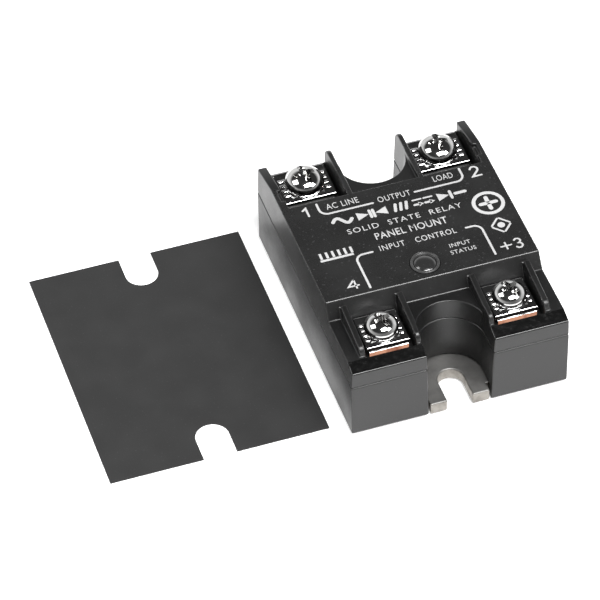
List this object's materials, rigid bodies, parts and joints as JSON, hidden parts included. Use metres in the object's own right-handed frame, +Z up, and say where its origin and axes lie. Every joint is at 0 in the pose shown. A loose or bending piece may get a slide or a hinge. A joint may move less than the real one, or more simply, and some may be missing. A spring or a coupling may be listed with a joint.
{
  "type": "solid state relay",
  "caption": "Panel-mount solid state relay: black block with slotted metal base, screw terminals with clamps, a status light, and a loose thermal pad beside it.",
  "frame": {"origin": "centre of the base plate's underside", "axes": "+Z up, away from the heat sink; -Y towards the input terminals 3 and 4; +X towards the side of terminals 2 and 3"},
  "size_m": [0.0922, 0.0614, 0.0213],
  "materials": {
    "housing": "moulded, glossy on the deck and finely textured at the front",
    "plate": "as cut, nickel-washed",
    "pad": "matt, slightly speckled",
    "plated": "bright nickel plate",
    "strap": "nickel-plated copper, bare at the cut edges",
    "copper": "bare copper",
    "ceramic": "fired alumina",
    "silicon": "lapped",
    "board": "solder mask",
    "package": "moulded epoxy",
    "resistor": "lacquered",
    "film": "dipped",
    "potting": "cast resin",
    "lens": "clear moulded"
  },
  "bodies": {
    "housing": {"base_plate": "plate", "lower_case": "housing", "top_cover": "housing", "input_strap_3": "strap", "input_nut_3": "plated", "input_strap_4": "strap", "input_nut_4": "plated", "output_strap_2": "strap", "output_nut_2": "plated", "output_strap_1": "strap", "output_nut_1": "plated", "ceramic_substrate": "ceramic", "copper_land_1": "copper", "thyristor_1": "silicon", "thyristor_link_1": "copper", "gate_lead_1": "plated", "return_lead_1": "plated", "copper_land_2": "copper", "thyristor_2": "silicon", "thyristor_link_2": "copper", "gate_lead_2": "plated", "return_lead_2": "plated", "potting": "potting", "circuit_board": "board", "optocoupler": "package", "input_resistor": "resistor", "input_diode": "package", "limiter_transistor": "package", "gate_resistor_1": "resistor", "gate_resistor_2": "resistor", "snubber_resistor": "resistor", "snubber_capacitor": "film", "status_led": "lens", "led_lens": "lens"},
    "clamp_1": {"output_clamp_1": "plated"},
    "screw_1": {"output_screw_1": "plated"},
    "clamp_2": {"output_clamp_2": "plated"},
    "screw_2": {"output_screw_2": "plated"},
    "clamp_3": {"input_clamp_3": "plated"},
    "screw_3": {"input_screw_3": "plated"},
    "clamp_4": {"input_clamp_4": "plated"},
    "screw_4": {"input_screw_4": "plated"},
    "thermal_pad": {"thermal_pad": "pad"}
  },
  "joints": [
    {"name": "clamp_1_lift", "type": "slide", "parent": "housing", "child": "clamp_1", "axis": [0, 0, 1], "range_m": [0, 0.00317]},
    {"name": "screw_1_turn", "type": "hinge", "parent": "clamp_1", "child": "screw_1", "pos_m": [-0.0141, 0.0234, 0.018], "axis": [0, 0, 1], "range_deg": [0, 1441]},
    {"name": "clamp_2_lift", "type": "slide", "parent": "housing", "child": "clamp_2", "axis": [0, 0, 1], "range_m": [0, 0.00317]},
    {"name": "screw_2_turn", "type": "hinge", "parent": "clamp_2", "child": "screw_2", "pos_m": [0.0141, 0.0234, 0.018], "axis": [0, 0, 1], "range_deg": [0, 1441]},
    {"name": "clamp_3_lift", "type": "slide", "parent": "housing", "child": "clamp_3", "axis": [0, 0, 1], "range_m": [0, 0.00317]},
    {"name": "screw_3_turn", "type": "hinge", "parent": "clamp_3", "child": "screw_3", "pos_m": [0.0131, -0.0202, 0.018], "axis": [0, 0, 1], "range_deg": [0, 1441]},
    {"name": "clamp_4_lift", "type": "slide", "parent": "housing", "child": "clamp_4", "axis": [0, 0, 1], "range_m": [0, 0.00317]},
    {"name": "screw_4_turn", "type": "hinge", "parent": "clamp_4", "child": "screw_4", "pos_m": [-0.0131, -0.0202, 0.018], "axis": [0, 0, 1], "range_deg": [0, 1441]},
    {"name": "pad_slide", "type": "slide", "parent": "housing", "child": "thermal_pad", "axis": [0.9979, -0.0647, 0], "range_m": [0, 0.0479]}
  ],
  "couplings": [
    {"joint": "screw_1_turn", "follows": "clamp_1_lift", "rad_per_m": 7915.8},
    {"joint": "screw_2_turn", "follows": "clamp_2_lift", "rad_per_m": 7915.8},
    {"joint": "screw_3_turn", "follows": "clamp_3_lift", "rad_per_m": 7915.8},
    {"joint": "screw_4_turn", "follows": "clamp_4_lift", "rad_per_m": 7915.8}
  ]
}
